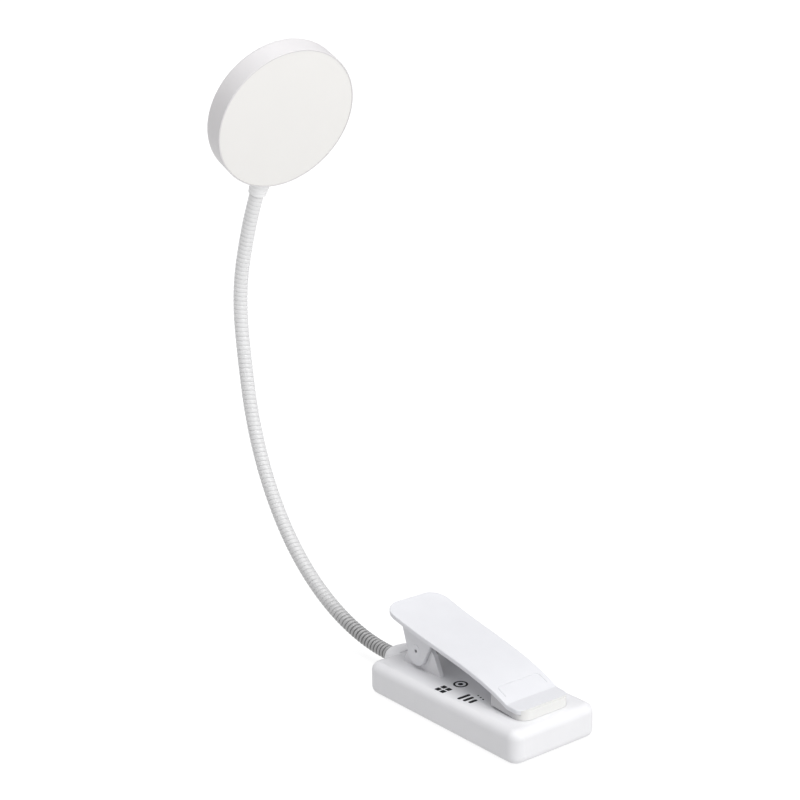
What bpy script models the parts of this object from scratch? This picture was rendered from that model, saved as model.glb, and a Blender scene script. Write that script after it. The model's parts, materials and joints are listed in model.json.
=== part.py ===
"""Clip-on reading lamp: a battery base with a sprung clip, a gooseneck and a round light head.

Metres, +Z up. The origin is the centre of the base's underside. +X points to the clip's jaw,
-X to the side where the neck leaves the base, and +Y to the side with the button and the socket.
"""

import math

import bmesh
import bpy
from mathutils import Matrix, Vector

# The clearance between pieces, and how far a cutter reaches beyond what it cuts
GAP = 0.0003
BEYOND = 0.002

# Base: a flat box with rounded corners and edges
BASE_LENGTH = 0.084
BASE_WIDTH = 0.040
BASE_HEIGHT = 0.013
BASE_CORNER = 0.0045
TOP_FILLET = 0.0035
BOTTOM_FILLET = 0.0028
WALL = 0.002
CORNER_LEAST = 0.0006
COVER_LOW = 0.0004
COVER_TOP = 0.0024
HOUSING_LOW = 0.0007
PAD_LENGTH = 0.0764
PAD_WIDTH = 0.022
PAD_HEIGHT = 0.001
PAD_CORNER = 0.003
POST_X = 0.0335
POST_Y = 0.0135
POST_RADIUS = 0.0025
SCREW_RADIUS = 0.0009
SCREW_HEAD_RADIUS = 0.0018
SCREW_HEAD_HEIGHT = 0.0007
SCREW_TOP = 0.0088

# Contents of the base
BALLAST_THICKNESS = 0.0038
BALLAST_HALF_WIDTH = 0.0162
CELL_REAR = -0.003
CELL_FRONT = 0.029
CELL_HALF_WIDTH = 0.0150
BALLAST_FRONT = 0.0381
BALLAST_NOSE_HALF_WIDTH = 0.0102
BOARD_LOW = 0.0043
BOARD_THICKNESS = 0.001
BOARD_REAR_X = -0.0300
BOARD_FRONT_X = -0.0050
BOARD_INNER_Y = 0.0048
BOARD_OUTER_Y = 0.0160
PEG_RADIUS = 0.0012
SOCKET_X = -0.024
SOCKET_Z = 0.0072
SOCKET_BACK_Y = 0.0129
BUTTON_X = -0.011
BUTTON_Z = 0.0070
BUTTON_INNER_Y = 0.0169
BUTTON_STANDS_OUT = 0.0004
SWITCH_INNER_Y = 0.0122
SWITCH_OUTER_Y = 0.0154
LIGHT_PIPE_X = -0.0165

# Clip: hinge, cheeks and lever
PIN_X = -0.0232
PIN_Z = 0.0204
PIN_RADIUS = 0.0013
PIN_CLEARANCE = 0.00008
EAR_INNER_Y = 0.0072
EAR_OUTER_Y = 0.0090
EAR_RADIUS = 0.0054
EAR_REAR_X = -0.0336
EAR_FRONT_X = -0.0108
CHEEK_INNER_Y = 0.0093
CHEEK_OUTER_Y = 0.0109
CHEEK_RADIUS = 0.0051
CHEEK_DROP = 0.0006
CHEEK_REAR_REACH = 0.0092
CHEEK_FRONT_REACH = 0.0100
PIN_CAPTIVE_Y = -0.0101
VENT_RADIUS = 0.0005
LEVER_REAR_X = -0.0397
LEVER_BEND_X = 0.029
LEVER_TIP_X = 0.0358
LEVER_REAR_Z = 0.03445
LEVER_DROP = 0.01985
LEVER_SAG = 0.01210
LEVER_CURL = 0.00930
LEVER_TIP_DROP = 0.0004
LEVER_THICKNESS = 0.0020
LEVER_REAR_HALF_WIDTH = 0.0137
LEVER_TIP_HALF_WIDTH = 0.0120
LEVER_REAR_CORNER = 0.0065
LEVER_TIP_CORNER = 0.0030
LEVER_EDGE = 0.0003
JAW_REAR_X = 0.0203
JAW_HALF_WIDTH = 0.0116
JAW_CORNER = 0.0040
JAW_LIP = 0.0009

# Torsion spring between the ears
SPRING_WIRE = 0.0006
SPRING_RADIUS = 0.0029
SPRING_TURNS = 4
SPRING_PITCH = 0.0018
SPRING_FOOT_X = -0.0350
SPRING_TOE_X = -0.0355

# Neck: its line is equal arcs in a row, each turning by so many degrees, from the base's rear boss
# to just below the head. It is cut into equal lengths that turn on each other.
NECK_RADIUS = 0.0030
NECK_BORE = 0.0024
NECK_LENGTH = 0.2271
NECK_TURNS = (17.6, 17.8, 17.3, 14.6, 13.3, 5.0, 21.9, 9.9)
NECK_PIECES = 12
NECK_EXIT_X = -0.0536
NECK_EXIT_Z = 0.0068
NECK_START = -0.0023
NECK_JOINT_GAP = 0.0009
NECK_CHAMFER = 0.0006
NECK_SIDES = 14
WIRE_RADIUS = 0.0008
WIRE_SETBACK = 0.0015
BOSS_FRONT_X = -0.0405
BOSS_REAR_X = -0.0510
BOSS_END_RADIUS = 0.0033
BOSS_WIDENING = 0.0050
BOSS_DROP = 0.0025
BOSS_SQUARENESS = 1.6
BOSS_SIDES = 32
FITTING_RADIUS = 0.0021
FITTING_BORE = 0.0014
FITTING_OUTER_X = -0.0566
FITTING_INNER_X = -0.0345
NUT_HALF_FLAT = 0.0040
NUT_LENGTH = 0.0026

# Head: a round dish with an opal disc, on the end of the neck
HEAD_RADIUS = 0.0307
HEAD_THICKNESS = 0.0108
HEAD_REACH = 0.0431
HEAD_FILLET = 0.0025
HEAD_BACK = 0.0012
HEAD_WALL = 0.0022
HEAD_SIDES = 48
LEDGE_DEPTH = 0.0018
DIFFUSER_RADIUS = 0.0300
RIM_EDGE = 0.0002
NECK_DEPTH = 0.0073
NECK_END_RADIUS = 0.0290
FERRULE_RADIUS = 0.00182
FERRULE_BORE = 0.0011
FERRULE_OVERLAP = 0.0055
FERRULE_END = 0.0215
CLAMP_START = 0.0222
CLAMP_END = 0.0262
CLAMP_HALF_WIDTH = 0.0060
HEAD_POST_HEIGHT = 0.0008
LED_BOARD_RADIUS = 0.0195
LED_BOARD_THICKNESS = 0.0012
LED_RING = 0.0145
LED_COUNT = 8
LED_HALF_SIZE = 0.0014
LED_HEIGHT = 0.0007
HEAD_SCREW_RING = 0.0180
COLLAR_LENGTH = 0.0072
COLLAR_INSIDE = 0.0283
COLLAR_HALF_Y = 0.0044
COLLAR_HALF_Z = 0.0043
COLLAR_RISE = 0.0006
COLLAR_TAPER = 0.0006
COLLAR_GROOVE = 0.0002
COLLAR_END_NARROWING = 0.0008

WHITE = ((0.83, 0.83, 0.84), 0.42, 0.0)
OPAL = ((0.93, 0.91, 0.87), 0.35, 0.0)
SOFT_WHITE = ((0.84, 0.84, 0.80), 0.70, 0.0)
STEEL = ((0.62, 0.62, 0.63), 0.30, 1.0)
SPRING_STEEL = ((0.45, 0.46, 0.48), 0.28, 1.0)
BRASS = ((0.70, 0.55, 0.28), 0.30, 1.0)
PAINTED_NECK = ((0.80, 0.80, 0.80), 0.38, 0.0)
CELL_WRAP = ((0.55, 0.57, 0.60), 0.35, 0.6)
BOARD_GREEN = ((0.05, 0.22, 0.10), 0.45, 0.0)
BOARD_WHITE = ((0.85, 0.85, 0.83), 0.40, 0.0)
BLACK = ((0.02, 0.02, 0.02), 0.50, 0.0)
GREY_PAD = ((0.30, 0.30, 0.31), 0.80, 0.0)
CLEAR = ((0.80, 0.90, 0.82), 0.10, 0.0)


def clear_scene():
    for obj in list(bpy.data.objects):
        bpy.data.objects.remove(obj, do_unlink=True)


def dress(obj, look):
    """Gives the object a material of its own."""
    color, roughness, metallic = look
    material = bpy.data.materials.new(obj.name)
    material.use_nodes = True
    shader = material.node_tree.nodes["Principled BSDF"]
    shader.inputs["Base Color"].default_value = (*color, 1.0)
    shader.inputs["Roughness"].default_value = roughness
    shader.inputs["Metallic"].default_value = metallic
    material.diffuse_color = (*color, 1.0)
    obj.data.materials.append(material)


def loft(name, rings, look, loop=False, parent=None, origin=(0.0, 0.0, 0.0)):
    """A closed body through rings of points in order, capped at both ends, or joined round in a loop."""
    origin = Vector(origin)
    shape = bmesh.new()
    rows = [[shape.verts.new(Vector(point) - origin) for point in ring] for ring in rings]
    count = len(rows[0])
    joined = list(zip(rows, rows[1:]))
    if loop:
        joined.append((rows[-1], rows[0]))
    else:
        shape.faces.new(rows[0])
        shape.faces.new(rows[-1])
    for first, second in joined:
        for i in range(count):
            j = (i + 1) % count
            shape.faces.new((first[i], first[j], second[j], second[i]))
    bmesh.ops.recalc_face_normals(shape, faces=shape.faces)
    mesh = bpy.data.meshes.new(name)
    shape.to_mesh(mesh)
    shape.free()
    mesh.shade_smooth()
    mesh.set_sharp_from_angle(angle=math.radians(35))
    obj = bpy.data.objects.new(name, mesh)
    bpy.context.scene.collection.objects.link(obj)
    dress(obj, look)
    obj.parent = parent
    obj.location = origin
    return obj


def arc(centre, radius, start, end, steps):
    """Points on a circle, from one angle to another in degrees."""
    angles = [math.radians(start + (end - start) * i / steps) for i in range(steps + 1)]
    return [(centre[0] + radius * math.cos(a), centre[1] + radius * math.sin(a)) for a in angles]


def circle(centre, radius, sides):
    return arc(centre, radius, 0, 360, sides)[:-1]


def rounded_rectangle(half_x, half_y, radius, steps=6, centre=(0.0, 0.0)):
    points = []
    for quarter, (side_x, side_y) in enumerate(((1, 1), (-1, 1), (-1, -1), (1, -1))):
        corner = (centre[0] + side_x * (half_x - radius), centre[1] + side_y * (half_y - radius))
        points += arc(corner, radius, 90 * quarter, 90 * quarter + 90, steps)
    return points


def on_plane(outline, axis, height):
    """An outline of (x, y), (x, z) or (y, z) pairs, set across the axis Z, Y or X."""
    if axis == "Z":
        return [(a, b, height) for a, b in outline]
    if axis == "Y":
        return [(a, height, b) for a, b in outline]
    return [(height, a, b) for a, b in outline]


def extruded(name, outline, axis, low, high, look, **place):
    return loft(name, [on_plane(outline, axis, low), on_plane(outline, axis, high)], look, **place)


def rod(name, centre, axis, radius, low, high, look, sides=20, **place):
    return extruded(name, circle(centre, radius, sides), axis, low, high, look, **place)


def block(name, low, high, look, **place):
    outline = [(low[0], low[1]), (high[0], low[1]), (high[0], high[1]), (low[0], high[1])]
    return extruded(name, outline, "Z", low[2], high[2], look, **place)


def combine(body, operation, *tools):
    """Joins helper shapes to a body, or cuts them from it. The helpers aren't rendered."""
    for tool in tools:
        modifier = body.modifiers.new(tool.name, "BOOLEAN")
        modifier.operation = operation
        modifier.solver = "EXACT"
        modifier.object = tool
        tool.hide_render = True
        tool.display_type = "WIRE"


def wire_along(name, points, radius, look, parent=None):
    """A round wire on one smooth curve through a few points."""
    curve = bpy.data.curves.new(name, "CURVE")
    curve.dimensions = "3D"
    curve.bevel_depth = radius
    curve.bevel_resolution = 2
    curve.use_fill_caps = True
    curve.resolution_u = 4
    spline = curve.splines.new("NURBS")
    spline.points.add(len(points) - 1)
    for slot, point in zip(spline.points, points):
        slot.co = (*point, 1.0)
    spline.order_u = 3
    spline.use_endpoint_u = True
    obj = bpy.data.objects.new(name, curve)
    bpy.context.scene.collection.objects.link(obj)
    dress(obj, look)
    obj.parent = parent
    return obj


# ---- Base ----


def fillet_inset(depth, radius):
    """How far a rounded edge stands in, at a depth below its start."""
    if depth >= radius:
        return 0.0
    return radius - math.sqrt(radius**2 - (radius - depth) ** 2)


def base_ring(z):
    """The base's outline at one height."""
    inset = fillet_inset(BASE_HEIGHT - z, TOP_FILLET) + fillet_inset(z - COVER_LOW, BOTTOM_FILLET)
    radius = max(BASE_CORNER - inset, CORNER_LEAST)
    outline = rounded_rectangle(BASE_LENGTH / 2 - inset, BASE_WIDTH / 2 - inset, radius)
    return on_plane(outline, "Z", z)


def boss_ring(share):
    """A section of the rear boss: a rounded block at the wall, a circle where the neck leaves it."""
    x = BOSS_FRONT_X + (BOSS_REAR_X - BOSS_FRONT_X) * share
    swell = math.sqrt(max(1 - share**2, 0.0))
    half_width = BOSS_END_RADIUS + BOSS_WIDENING * swell
    top = NECK_EXIT_Z + BOSS_END_RADIUS
    top += (BASE_HEIGHT - 0.0001 - top) * swell
    bottom = NECK_EXIT_Z - BOSS_END_RADIUS - BOSS_DROP * swell
    power = 2 / (2 + BOSS_SQUARENESS * swell)
    points = []
    for i in range(BOSS_SIDES):
        angle = 2 * math.pi * i / BOSS_SIDES
        across = math.copysign(abs(math.cos(angle)) ** power, math.cos(angle))
        rise = math.copysign(abs(math.sin(angle)) ** power, math.sin(angle))
        points.append((x, half_width * across, (top + bottom) / 2 + (top - bottom) / 2 * rise))
    return points


def ear_outline():
    """A hinge ear: a broad foot on the base and a round top about the pin."""
    foot = BASE_HEIGHT - 0.0006
    return [
        (EAR_FRONT_X, foot),
        (PIN_X + 0.0082, PIN_Z + 0.0006),
        *arc((PIN_X, PIN_Z), EAR_RADIUS, 50, 152, 8),
        (EAR_REAR_X, foot),
    ]


def cavity_outline(clearance=0.0):
    inset = WALL + clearance
    return rounded_rectangle(BASE_LENGTH / 2 - inset, BASE_WIDTH / 2 - inset, BASE_CORNER - inset)


def post_places():
    return [(sx * POST_X, sy * POST_Y) for sx in (1, -1) for sy in (1, -1)]


def side_opening(name, x, z, half_x, half_z, radius):
    """A cutter for a rounded opening through the wall on the +Y side."""
    outline = rounded_rectangle(half_x, half_z, radius, centre=(x, z))
    wall_inside = BASE_WIDTH / 2 - WALL
    return extruded(name, outline, "Y", wall_inside - BEYOND, BASE_WIDTH / 2 + BEYOND, WHITE)


def make_base_housing():
    arcs = [math.radians(a) for a in range(0, 91, 15)]
    heights = [COVER_LOW + BOTTOM_FILLET * (1 - math.cos(a)) for a in arcs]
    heights = [HOUSING_LOW] + [z for z in heights if z > HOUSING_LOW]
    heights += [BASE_HEIGHT - TOP_FILLET * (1 - math.sin(a)) for a in arcs]
    housing = loft("base_housing", [base_ring(z) for z in heights], WHITE)
    boss = loft("boss_shape", [boss_ring(share) for share in (0, 0.25, 0.5, 0.7, 0.85, 0.95, 1)], WHITE)
    ears = [
        extruded("ear_shape", ear_outline(), "Y", side * EAR_INNER_Y, side * EAR_OUTER_Y, WHITE)
        for side in (1, -1)
    ]
    combine(housing, "UNION", boss, *ears)
    roof = BASE_HEIGHT - WALL
    combine(housing, "DIFFERENCE", extruded("cavity", cavity_outline(), "Z", -BEYOND, roof, WHITE))
    post_foot = COVER_TOP + GAP
    posts = [
        rod("post_shape", place, "Z", POST_RADIUS, post_foot, roof + WALL / 2, WHITE)
        for place in post_places()
    ]
    combine(housing, "UNION", *posts)
    pilots = [
        rod("pilot_hole", place, "Z", SCREW_RADIUS + GAP, -BEYOND, roof - 0.001, WHITE, sides=12)
        for place in post_places()
    ]
    bore_ends = (BOSS_REAR_X - BEYOND, -BASE_LENGTH / 2 + WALL + BEYOND)
    bore = rod("neck_bore", (0, NECK_EXIT_Z), "X", FITTING_RADIUS + GAP, *bore_ends, WHITE)
    pin_reach = EAR_OUTER_Y + BEYOND
    pin_hole = rod("pin_hole", (PIN_X, PIN_Z), "Y", PIN_RADIUS + PIN_CLEARANCE, -pin_reach, pin_reach, WHITE)
    openings = [
        side_opening("socket_slot", SOCKET_X, SOCKET_Z, 0.0048, 0.0019, 0.0018),
        side_opening("button_slot", BUTTON_X, BUTTON_Z, 0.0035, 0.0018, 0.0014),
        side_opening("light_hole", LIGHT_PIPE_X, SOCKET_Z, 0.0011, 0.0011, 0.00108),
    ]
    combine(housing, "DIFFERENCE", *pilots, bore, pin_hole, *openings)


def make_base_cover():
    """The plate that closes the base from below, set in between the housing's walls."""
    cover = extruded("base_cover", cavity_outline(GAP), "Z", COVER_LOW, COVER_TOP, WHITE)
    pegs = [
        rod("peg_shape", place, "Z", PEG_RADIUS, COVER_TOP - 0.0005, BOARD_LOW - GAP, WHITE, sides=12)
        for place in ((-0.027, 0.008), (-0.008, 0.008), (-0.0175, 0.014))
    ]
    combine(cover, "UNION", *pegs)
    recess_plan = rounded_rectangle(PAD_LENGTH / 2 + GAP, PAD_WIDTH / 2 + GAP, PAD_CORNER + GAP)
    recess = extruded("pad_recess", recess_plan, "Z", -BEYOND, PAD_HEIGHT + GAP, WHITE)
    seat_top = COVER_LOW + 0.0001 + SCREW_HEAD_HEIGHT + GAP
    holes = [
        rod("screw_hole", place, "Z", SCREW_RADIUS + GAP, -BEYOND, COVER_TOP + BEYOND, WHITE, sides=12)
        for place in post_places()
    ]
    seats = [
        rod("screw_seat", place, "Z", SCREW_HEAD_RADIUS + GAP, -BEYOND, seat_top, WHITE)
        for place in post_places()
    ]
    combine(cover, "DIFFERENCE", recess, *holes, *seats)


def make_base_pad():
    outline = rounded_rectangle(PAD_LENGTH / 2, PAD_WIDTH / 2, PAD_CORNER)
    extruded("base_pad", outline, "Z", 0.0, PAD_HEIGHT, GREY_PAD)


def make_base_screws():
    head_low = COVER_LOW + 0.0001
    head_top = head_low + SCREW_HEAD_HEIGHT
    for number, place in enumerate(post_places(), 1):
        sections = (
            (SCREW_HEAD_RADIUS * 0.85, head_low),
            (SCREW_HEAD_RADIUS, head_low + 0.0002),
            (SCREW_HEAD_RADIUS, head_top),
            (SCREW_RADIUS, head_top),
            (SCREW_RADIUS, SCREW_TOP - 0.0008),
            (SCREW_RADIUS * 0.5, SCREW_TOP),
        )
        rings = [on_plane(circle(place, radius, 16), "Z", z) for radius, z in sections]
        screw = loft(f"base_screw_{number}", rings, STEEL)
        for turn in (0, 90):
            arm = rounded_rectangle(0.0011, 0.00022, 0.0001, steps=1)
            turned = Matrix.Rotation(math.radians(turn), 2)
            outline = [tuple(turned @ Vector(point) + Vector(place)) for point in arm]
            slot = extruded("driver_slot", outline, "Z", head_low - BEYOND, head_low + 0.0004, STEEL)
            combine(screw, "DIFFERENCE", slot)


def make_ballast():
    """A steel plate under the battery, with a thick nose in front of it."""
    low = COVER_TOP + GAP
    middle = ((CELL_REAR + CELL_FRONT) / 2, 0.0)
    plan = rounded_rectangle((CELL_FRONT - CELL_REAR) / 2, BALLAST_HALF_WIDTH, 0.001, 2, middle)
    ballast = extruded("ballast_plate", plan, "Z", low, low + BALLAST_THICKNESS, STEEL)
    nose_rear = CELL_FRONT + GAP
    nose_low = (nose_rear, -BALLAST_NOSE_HALF_WIDTH, low)
    nose_high = (BALLAST_FRONT, BALLAST_NOSE_HALF_WIDTH, BASE_HEIGHT - WALL - GAP)
    nose = block("ballast_nose", nose_low, nose_high, STEEL)
    reach = 0.002
    narrowing = 0.001
    sunk = 0.0001
    bridge_low = (nose_rear - reach, narrowing - BALLAST_NOSE_HALF_WIDTH, low + sunk)
    bridge_high = (nose_rear + reach, BALLAST_NOSE_HALF_WIDTH - narrowing, low + BALLAST_THICKNESS - sunk)
    combine(ballast, "UNION", nose, block("ballast_bridge", bridge_low, bridge_high, STEEL))


def make_cell():
    """The battery: a flat pouch with rounded edges, on the ballast plate."""
    low = COVER_TOP + GAP + BALLAST_THICKNESS + GAP
    top = BASE_HEIGHT - WALL - GAP
    centre = ((CELL_REAR + CELL_FRONT) / 2, 0.0)
    half_length = (CELL_FRONT - CELL_REAR) / 2
    edge = 0.0009
    corner = 0.002
    rings = []
    for inset, z in ((edge, low), (0, low + edge), (0, top - edge), (edge, top)):
        plan = rounded_rectangle(half_length - inset, CELL_HALF_WIDTH - inset, corner - inset, centre=centre)
        rings.append(on_plane(plan, "Z", z))
    loft("battery_cell", rings, CELL_WRAP)


def make_control_board():
    top = BOARD_LOW + BOARD_THICKNESS
    low_corner = (BOARD_REAR_X, BOARD_INNER_Y, BOARD_LOW)
    board = block("control_board", low_corner, (BOARD_FRONT_X, BOARD_OUTER_Y, top), BOARD_GREEN)
    sunk = top - 0.0003
    parts = (
        ((-0.0190, 0.0062), (0.0022, 0.0022), 0.0011),
        ((-0.0130, 0.0070), (0.0018, 0.0018), 0.0020),
        ((-0.0085, 0.0068), (0.0012, 0.0016), 0.0014),
        ((LIGHT_PIPE_X, 0.0150), (0.0009, 0.0008), 0.0026),
    )
    for (x, y), (half_x, half_y), height in parts:
        low = (x - half_x, y - half_y, sunk)
        high = (x + half_x, y + half_y, top + height)
        combine(board, "UNION", block("component_shape", low, high, BOARD_GREEN))


def make_socket():
    """The charging socket: a rounded metal shell, closed behind, with a tongue in it."""
    centre = (SOCKET_X, SOCKET_Z)
    mouth = BASE_WIDTH / 2 - 0.0002
    back = SOCKET_BACK_Y
    shell_plan = rounded_rectangle(0.00447, 0.0016, 0.0015, centre=centre)
    inside_plan = rounded_rectangle(0.00415, 0.00128, 0.0012, centre=centre)
    socket = extruded("usb_c_socket", shell_plan, "Y", back, mouth, STEEL)
    inside = extruded("socket_inside", inside_plan, "Y", back + 0.0008, mouth + BEYOND, STEEL)
    tongue_low = (SOCKET_X - 0.0033, back + 0.0003, SOCKET_Z - 0.00035)
    tongue_high = (SOCKET_X + 0.0033, mouth - 0.0008, SOCKET_Z + 0.00035)
    combine(socket, "DIFFERENCE", inside)
    combine(socket, "UNION", block("tongue_shape", tongue_low, tongue_high, STEEL))


def make_switch():
    """The switch on the board, with a short round plunger towards the button."""
    low = BOARD_LOW + BOARD_THICKNESS + GAP
    half_length = 0.003
    low_corner = (BUTTON_X - half_length, SWITCH_INNER_Y, low)
    high_corner = (BUTTON_X + half_length, SWITCH_OUTER_Y, low + 0.0032)
    switch = block("tact_switch", low_corner, high_corner, BLACK)
    ends = (SWITCH_OUTER_Y - 0.0004, SWITCH_OUTER_Y + 0.0008)
    combine(switch, "UNION", rod("plunger_shape", (BUTTON_X, BUTTON_Z), "Y", 0.0009, *ends, BLACK, sides=14))


def make_button():
    """The button: a broad flange behind the wall, and a cap that stands out of it a little."""
    flange = (0.0042, 0.0023)
    cap = (0.0032, 0.0015)
    edge = 0.0003
    outer = BASE_WIDTH / 2 + BUTTON_STANDS_OUT
    step = BASE_WIDTH / 2 - WALL - GAP
    cap_end = (cap[0] - edge, cap[1] - edge)
    sections = ((flange, BUTTON_INNER_Y), (flange, step), (cap, step), (cap, outer - edge), (cap_end, outer))
    rings = [
        on_plane(rounded_rectangle(half_x, half_z, 0.0011, centre=(BUTTON_X, BUTTON_Z)), "Y", y)
        for (half_x, half_z), y in sections
    ]
    loft("power_button", rings, WHITE, origin=(BUTTON_X, BASE_WIDTH / 2, BUTTON_Z))


def make_light_pipe():
    """The clear rod that carries the charging light to the wall."""
    centre = (LIGHT_PIPE_X, SOCKET_Z)
    rod("charge_light_pipe", centre, "Y", 0.0008, BOARD_OUTER_Y + 0.0001, BASE_WIDTH / 2, CLEAR, sides=14)


def make_neck_fixing():
    """The threaded tube in the neck's lower end, and the nut that holds it behind the wall."""
    centre = (0.0, NECK_EXIT_Z)
    edge = 0.0004
    sections = (
        (FITTING_RADIUS, FITTING_OUTER_X),
        (FITTING_RADIUS, FITTING_INNER_X - edge),
        (FITTING_RADIUS - edge, FITTING_INNER_X),
        (FITTING_BORE, FITTING_INNER_X),
        (FITTING_BORE, FITTING_OUTER_X),
    )
    rings = [on_plane(circle(centre, radius, 20), "X", x) for radius, x in sections]
    loft("neck_root_fitting", rings, STEEL, loop=True)
    low = -(BASE_LENGTH / 2 - WALL) + GAP
    high = low + NUT_LENGTH
    hexagon = circle(centre, NUT_HALF_FLAT / math.cos(math.pi / 6), 6)
    nut = extruded("neck_nut", hexagon, "X", low, high, BRASS)
    bore = rod("nut_bore", centre, "X", FITTING_RADIUS + GAP, low - BEYOND, high + BEYOND, BRASS)
    combine(nut, "DIFFERENCE", bore)


def make_base_leads():
    """The lead from the neck, through its fitting, to the board, and the one from the battery."""
    z = NECK_EXIT_Z
    neck_route = [(x, 0.0, z) for x in (-0.0523, -0.0470, -0.0400, -0.0340, -0.0315)]
    neck_route += [(-0.0290, 0.0005, z), (-0.0265, 0.0035, z), (-0.0262, 0.0068, z)]
    wire_along("base_lead", neck_route, 0.0007, BLACK)
    cell_route = ((-0.0033, 0.0082), (-0.0045, 0.0082), (-0.0058, 0.0080), (-0.0078, 0.0072))
    wire_along("battery_lead", [(x, 0.0110, height) for x, height in cell_route], 0.0006, BLACK)


# ---- Clip ----


def lever_top(x):
    """Height of the lever's upper face: a ramp that sags, then curls down to the flat tip."""
    share = min((x - LEVER_REAR_X) / (LEVER_BEND_X - LEVER_REAR_X), 1.0)
    tip_share = max((x - LEVER_BEND_X) / (LEVER_TIP_X - LEVER_BEND_X), 0.0)
    ramp = LEVER_REAR_Z - LEVER_DROP * share + LEVER_SAG * share**2 - LEVER_CURL * share**4
    return ramp - LEVER_TIP_DROP * tip_share


def lever_half_width(x):
    share = (x - LEVER_REAR_X) / (LEVER_TIP_X - LEVER_REAR_X)
    width = LEVER_REAR_HALF_WIDTH + (LEVER_TIP_HALF_WIDTH - LEVER_REAR_HALF_WIDTH) * share
    width -= fillet_inset(x - LEVER_REAR_X, LEVER_REAR_CORNER)
    width -= fillet_inset(LEVER_TIP_X - x, LEVER_TIP_CORNER)
    return width


def lever_section(x):
    half = lever_half_width(x)
    top = lever_top(x)
    bottom = top - LEVER_THICKNESS
    edge = LEVER_EDGE
    return [
        (x, -half + edge, top),
        (x, half - edge, top),
        (x, half, top - edge),
        (x, half, bottom + edge),
        (x, half - edge, bottom),
        (x, -half + edge, bottom),
        (x, -half, bottom + edge),
        (x, -half, top - edge),
    ]


def lever_stations():
    """Where the lever's sections stand: close together round its corners and on its bend."""
    rear = [LEVER_REAR_X + LEVER_REAR_CORNER * (1 - math.cos(math.radians(a))) for a in range(0, 91, 15)]
    ramp_steps = 9
    ramp_start = rear[-1]
    ramp = [ramp_start + (LEVER_BEND_X - ramp_start) * i / ramp_steps for i in range(1, ramp_steps + 1)]
    tip = [LEVER_TIP_X - LEVER_TIP_CORNER * (1 - math.cos(math.radians(a))) for a in range(90, -1, -18)]
    return rear + ramp + tip


def cheek_outline():
    """A cheek of the lever: round under the pin, widening up into the plate."""
    bottom = arc((PIN_X, PIN_Z - CHEEK_DROP), CHEEK_RADIUS, -160, -40, 9)
    rear_x = PIN_X - CHEEK_REAR_REACH
    front_x = PIN_X + CHEEK_FRONT_REACH
    steps = 4
    inside = [rear_x + (front_x - rear_x) * i / steps for i in range(steps + 1)]
    return bottom + [(x, lever_top(x) - LEVER_THICKNESS / 2) for x in reversed(inside)]


def make_lever():
    """The lever: a curved plate with two cheeks. The pin goes in from +Y, and the -Y cheek stops it."""
    pin = (PIN_X, PIN_Z)
    lever = loft(
        "clip_lever", [lever_section(x) for x in lever_stations()], WHITE, origin=(PIN_X, 0.0, PIN_Z)
    )
    cheeks = [
        extruded("cheek_shape", cheek_outline(), "Y", side * CHEEK_INNER_Y, side * CHEEK_OUTER_Y, WHITE)
        for side in (1, -1)
    ]
    combine(lever, "UNION", *cheeks)
    far_side = CHEEK_OUTER_Y + BEYOND
    hole = rod("cheek_hole", pin, "Y", PIN_RADIUS + PIN_CLEARANCE, PIN_CAPTIVE_Y - GAP, far_side, WHITE)
    vent = rod("vent_hole", pin, "Y", VENT_RADIUS, -far_side, PIN_CAPTIVE_Y, WHITE, sides=10)
    combine(lever, "DIFFERENCE", hole, vent)
    rod("hinge_pin", pin, "Y", PIN_RADIUS, PIN_CAPTIVE_Y, CHEEK_OUTER_Y - GAP, STEEL)


def make_jaw_pad():
    """A soft wedge that fills the space under the lever's tip and turns up over its front edge."""
    low = BASE_HEIGHT + GAP
    front = LEVER_TIP_X + GAP + JAW_LIP
    lip_top = lever_top(LEVER_TIP_X) - GAP
    tallest = lever_top(JAW_REAR_X)
    corner_x = front - JAW_CORNER
    corner_y = JAW_HALF_WIDTH - JAW_CORNER
    plan = [(JAW_REAR_X, -JAW_HALF_WIDTH), *arc((corner_x, -corner_y), JAW_CORNER, -90, 0, 5)]
    plan += [*arc((corner_x, corner_y), JAW_CORNER, 0, 90, 5), (JAW_REAR_X, JAW_HALF_WIDTH)]
    wedge = extruded("jaw_pad", plan, "Z", low, tallest, SOFT_WHITE, origin=(PIN_X, 0.0, PIN_Z))
    steps = 5
    room_start = JAW_REAR_X - BEYOND
    room_end = LEVER_TIP_X + GAP
    stations = [room_start + (LEVER_BEND_X - room_start) * i / steps for i in range(steps + 1)]
    stations += [room_end - LEVER_TIP_CORNER * (1 - math.cos(math.radians(a))) for a in range(90, -1, -18)]
    rooms = []
    for x in stations:
        half = LEVER_TIP_HALF_WIDTH + GAP - fillet_inset(room_end - x, LEVER_TIP_CORNER)
        bottom = lever_top(x) - LEVER_THICKNESS - GAP
        top = tallest + BEYOND
        rooms.append([(x, -half, bottom), (x, half, bottom), (x, half, top), (x, -half, top)])
    above_low = (LEVER_BEND_X, -2 * JAW_HALF_WIDTH, lip_top)
    above_high = (front + BEYOND, 2 * JAW_HALF_WIDTH, tallest + BEYOND)
    above = block("above_lip", above_low, above_high, SOFT_WHITE)
    combine(wedge, "DIFFERENCE", loft("tip_room", rooms, SOFT_WHITE), above)


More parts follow.
